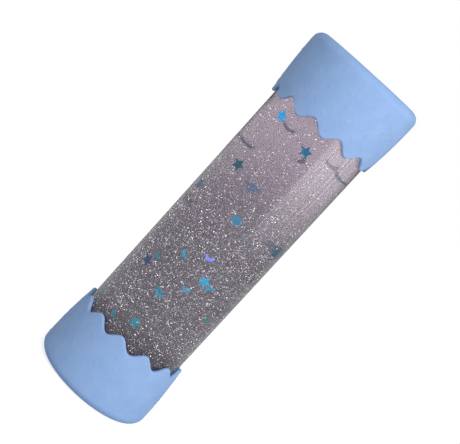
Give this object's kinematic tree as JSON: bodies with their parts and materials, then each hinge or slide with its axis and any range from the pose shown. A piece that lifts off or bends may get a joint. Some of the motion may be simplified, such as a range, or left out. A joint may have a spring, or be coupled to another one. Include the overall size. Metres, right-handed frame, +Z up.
{
  "type": "liquid rainstick",
  "caption": "Clear liquid-filled tube with drifting stars, moons and glitter, closed by a plug and a soft scalloped cap at each end.",
  "frame": {"origin": "centre of the lower cap's flat end, where it stands", "axes": "+Z up along the tube, towards the upper cap; X and Y are alike"},
  "size_m": [0.057, 0.057, 0.1825],
  "materials": {
    "cap_silicone": "matte",
    "clear_plastic": "polished",
    "plug_plastic": "satin",
    "seal_rubber": "matte",
    "screw_plastic": "satin",
    "liquid": "gloss",
    "star_foil": "gloss",
    "moon_foil": "gloss"
  },
  "bodies": {
    "lower_cap": {"lower_end_cap": "cap_silicone"},
    "tube": {"clear_tube": "clear_plastic", "lower_plug": "plug_plastic", "upper_plug": "plug_plastic", "lower_seal_ring": "seal_rubber", "upper_seal_ring": "seal_rubber", "liquid_fill": "liquid"},
    "upper_cap": {"upper_end_cap": "cap_silicone"},
    "washer": {"filler_washer": "seal_rubber"},
    "screw": {"filler_screw": "screw_plastic"},
    "stars": {"star_01": "star_foil", "star_02": "star_foil", "star_03": "star_foil", "star_04": "star_foil", "star_05": "star_foil", "star_06": "star_foil", "star_07": "star_foil", "star_08": "star_foil", "star_09": "star_foil", "star_10": "star_foil", "star_11": "star_foil", "star_12": "star_foil", "star_13": "star_foil", "star_14": "star_foil", "star_15": "star_foil", "star_16": "star_foil", "star_17": "star_foil", "star_18": "star_foil"},
    "moons": {"moon_01": "moon_foil", "moon_02": "moon_foil", "moon_03": "moon_foil", "moon_04": "moon_foil", "moon_05": "moon_foil", "moon_06": "moon_foil", "moon_07": "moon_foil", "moon_08": "moon_foil", "moon_09": "moon_foil", "moon_10": "moon_foil", "moon_11": "moon_foil", "moon_12": "moon_foil", "moon_13": "moon_foil", "moon_14": "moon_foil", "moon_15": "moon_foil", "moon_16": "moon_foil", "moon_17": "moon_foil", "moon_18": "moon_foil", "moon_19": "moon_foil", "moon_20": "moon_foil", "moon_21": "moon_foil", "moon_22": "moon_foil"}
  },
  "joints": [
    {"name": "lower_cap_pull", "type": "slide", "parent": "lower_cap", "child": "tube", "axis": [0, 0, 1], "range_m": [0, 0.032]},
    {"name": "upper_cap_pull", "type": "slide", "parent": "tube", "child": "upper_cap", "axis": [0, 0, 1], "range_m": [0, 0.036]},
    {"name": "filler_rise", "type": "slide", "parent": "tube", "child": "washer", "axis": [0, 0, 1], "range_m": [0, 0.0045]},
    {"name": "filler_turn", "type": "hinge", "parent": "washer", "child": "screw", "pos_m": [0, 0, 0.17], "axis": [0, 0, 1], "range_deg": [0, 1085]},
    {"name": "star_drift", "type": "slide", "parent": "tube", "child": "stars", "axis": [0, 0, 1], "range_m": [-0.016, 0.008]},
    {"name": "moon_drift", "type": "slide", "parent": "tube", "child": "moons", "axis": [0, 0, 1], "range_m": [-0.01, 0.012]}
  ],
  "couplings": [
    {"joint": "filler_turn", "follows": "filler_rise", "rad_per_m": 4188.8}
  ]
}
